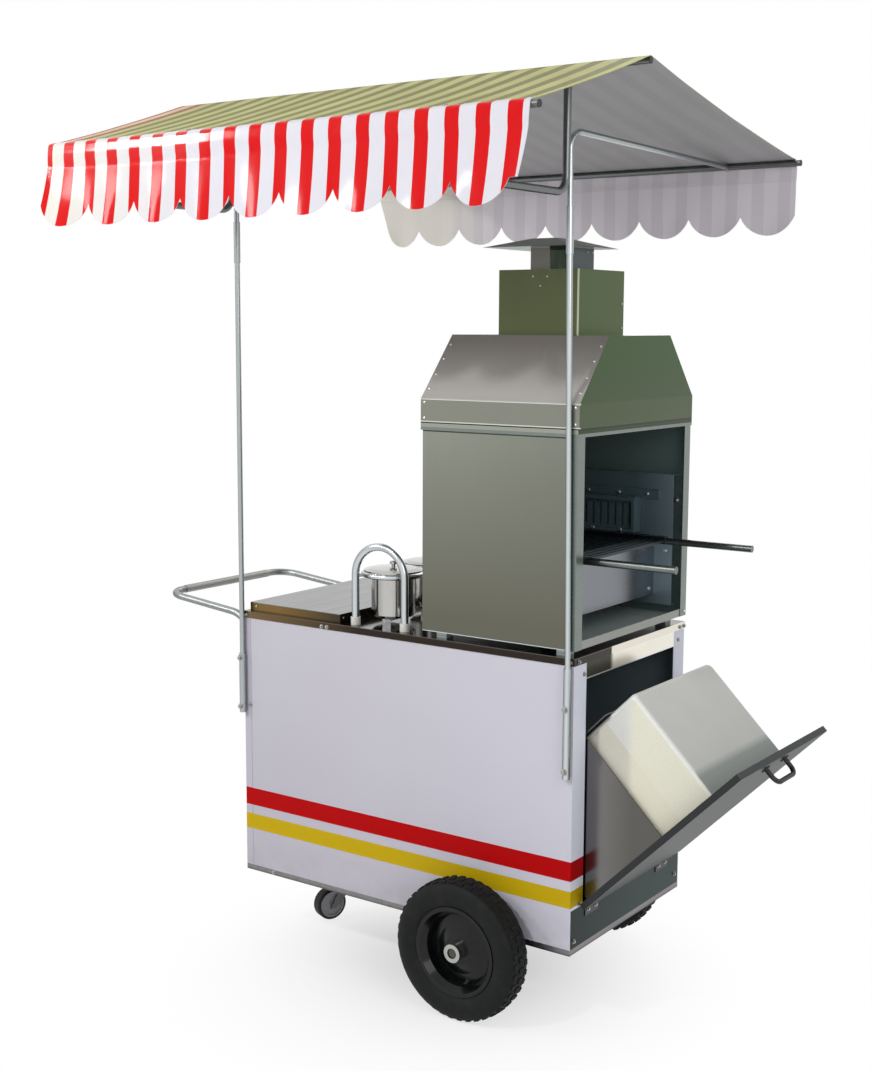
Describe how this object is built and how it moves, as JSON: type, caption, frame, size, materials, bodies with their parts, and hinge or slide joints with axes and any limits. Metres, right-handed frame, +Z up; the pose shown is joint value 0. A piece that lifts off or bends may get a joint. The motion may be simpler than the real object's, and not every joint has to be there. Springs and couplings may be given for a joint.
{
  "type": "hot dog cart",
  "caption": "Street food cart: sheet metal cabinet on wheels and a caster, grill oven with chimney, pots, tilt-out cooler bin, push handle and scalloped canopy.",
  "frame": {"origin": "on the floor under the middle of the cart's box", "axes": "+X along the cart to the end with the tilt-out door, -Y to the front panel, +Z up"},
  "size_m": [1.7932, 1.3333, 2.2696],
  "materials": {
    "white_painted_steel": "satin paint with a red and a yellow stripe",
    "satin_steel": "rolled, satin",
    "polished_steel": "polished",
    "galvanised_steel": "galvanised, dull",
    "zinc_steel": "zinc plated",
    "dark_steel": "black paint",
    "black_gloss_steel": "gloss black paint",
    "tyre_rubber": "matt",
    "caster_rubber": "matt",
    "burner_iron": "matt, heat darkened",
    "gas_brass": "plain",
    "black_plastic": "moulded",
    "grey_plastic": "soft sleeve",
    "white_plastic": "moulded",
    "white_foam": "expanded foam, fine grain",
    "roof_cloth": "coated, striped",
    "striped_cloth": "coated, red and white stripes"
  },
  "bodies": {
    "cart": {"base_frame": "galvanised_steel", "axle_hangers": "dark_steel", "axle": "zinc_steel", "caster_mount": "galvanised_steel", "front_panel": "white_painted_steel", "rear_panel": "white_painted_steel", "left_end_panel": "white_painted_steel", "end_lower_panel": "satin_steel", "door_lintel": "satin_steel", "floor_panel": "galvanised_steel", "corner_angles": "galvanised_steel", "worktop": "polished_steel", "basin": "satin_steel", "pot_rack": "galvanised_steel", "rack_ferrules": "white_plastic", "pot_clips": "galvanised_steel", "oven_floor": "satin_steel", "oven_walls": "satin_steel", "oven_trim": "galvanised_steel", "hood": "satin_steel", "chimney_box": "satin_steel", "chimney_cap": "satin_steel", "heat_shield": "galvanised_steel", "burner": "burner_iron", "gas_pipe": "gas_brass", "grate_rails": "zinc_steel", "apron": "satin_steel", "door_hinges": "zinc_steel", "push_handle": "galvanised_steel", "handle_grip": "grey_plastic", "handle_saddles": "zinc_steel", "post_sockets": "galvanised_steel", "canopy_posts": "galvanised_steel", "roof_arms": "galvanised_steel", "roof_tubes": "galvanised_steel", "tube_end_plugs": "black_plastic", "canopy_roof": "roof_cloth", "front_valance": "striped_cloth", "back_valance": "striped_cloth"},
    "near_wheel": {"near_tyre": "tyre_rubber", "near_rim": "black_gloss_steel", "near_hub": "zinc_steel"},
    "far_wheel": {"far_tyre": "tyre_rubber", "far_rim": "black_gloss_steel", "far_hub": "zinc_steel"},
    "swivel": {"caster_fork": "zinc_steel"},
    "roller": {"caster_wheel": "caster_rubber"},
    "door": {"door_panel": "satin_steel", "door_bin": "satin_steel", "door_pull": "black_plastic", "hinge_door_leaves": "zinc_steel"},
    "cooler": {"foam_cooler": "white_foam"},
    "cooler_cover": {"foam_lid": "white_foam"},
    "basin_cover": {"basin_lid": "satin_steel"},
    "front_pot": {"front_pot": "polished_steel"},
    "front_pot_cover": {"front_pot_lid": "polished_steel"},
    "rear_pot": {"rear_pot": "polished_steel"},
    "rear_pot_cover": {"rear_pot_lid": "polished_steel"},
    "grate": {"sliding_grate": "zinc_steel"}
  },
  "joints": [
    {"name": "near_wheel_spin", "type": "hinge", "parent": "cart", "child": "near_wheel", "pos_m": [0.2076, -0.226, 0.1775], "axis": [0, 1, 0], "continuous": true},
    {"name": "far_wheel_spin", "type": "hinge", "parent": "cart", "child": "far_wheel", "pos_m": [0.2076, 0.478, 0.1775], "axis": [0, 1, 0], "continuous": true},
    {"name": "caster_swivel", "type": "hinge", "parent": "cart", "child": "swivel", "pos_m": [-0.4404, 0.126, 0.103], "axis": [0, 0, 1], "continuous": true},
    {"name": "caster_roll", "type": "hinge", "parent": "swivel", "child": "roller", "pos_m": [-0.45994, 0.07997, 0.045], "axis": [-0.9205, 0.3907, 0], "continuous": true},
    {"name": "door_tilt", "type": "hinge", "parent": "cart", "child": "door", "pos_m": [0.4826, 0.126, 0.316], "axis": [0, 1, 0], "range_deg": [-45, 0]},
    {"name": "cooler_lift", "type": "slide", "parent": "door", "child": "cooler", "axis": [0.7071, 0, 0.7071], "range_m": [0, 0.055]},
    {"name": "cooler_lid_lift", "type": "slide", "parent": "cooler", "child": "cooler_cover", "axis": [0.7071, 0, 0.7071], "range_m": [0, 0.04]},
    {"name": "basin_lid_lift", "type": "slide", "parent": "cart", "child": "basin_cover", "axis": [0, 0, 1], "range_m": [0, 0.15]},
    {"name": "front_pot_lift", "type": "slide", "parent": "cart", "child": "front_pot", "axis": [0, 0, 1], "range_m": [0, 0.15]},
    {"name": "front_pot_lid_lift", "type": "slide", "parent": "front_pot", "child": "front_pot_cover", "axis": [0, 0, 1], "range_m": [0, 0.1]},
    {"name": "rear_pot_lift", "type": "slide", "parent": "cart", "child": "rear_pot", "axis": [0, 0, 1], "range_m": [0, 0.15]},
    {"name": "rear_pot_lid_lift", "type": "slide", "parent": "rear_pot", "child": "rear_pot_cover", "axis": [0, 0, 1], "range_m": [0, 0.1]},
    {"name": "grate_slide", "type": "slide", "parent": "cart", "child": "grate", "axis": [1, 0, 0], "range_m": [0, 0.22]}
  ]
}
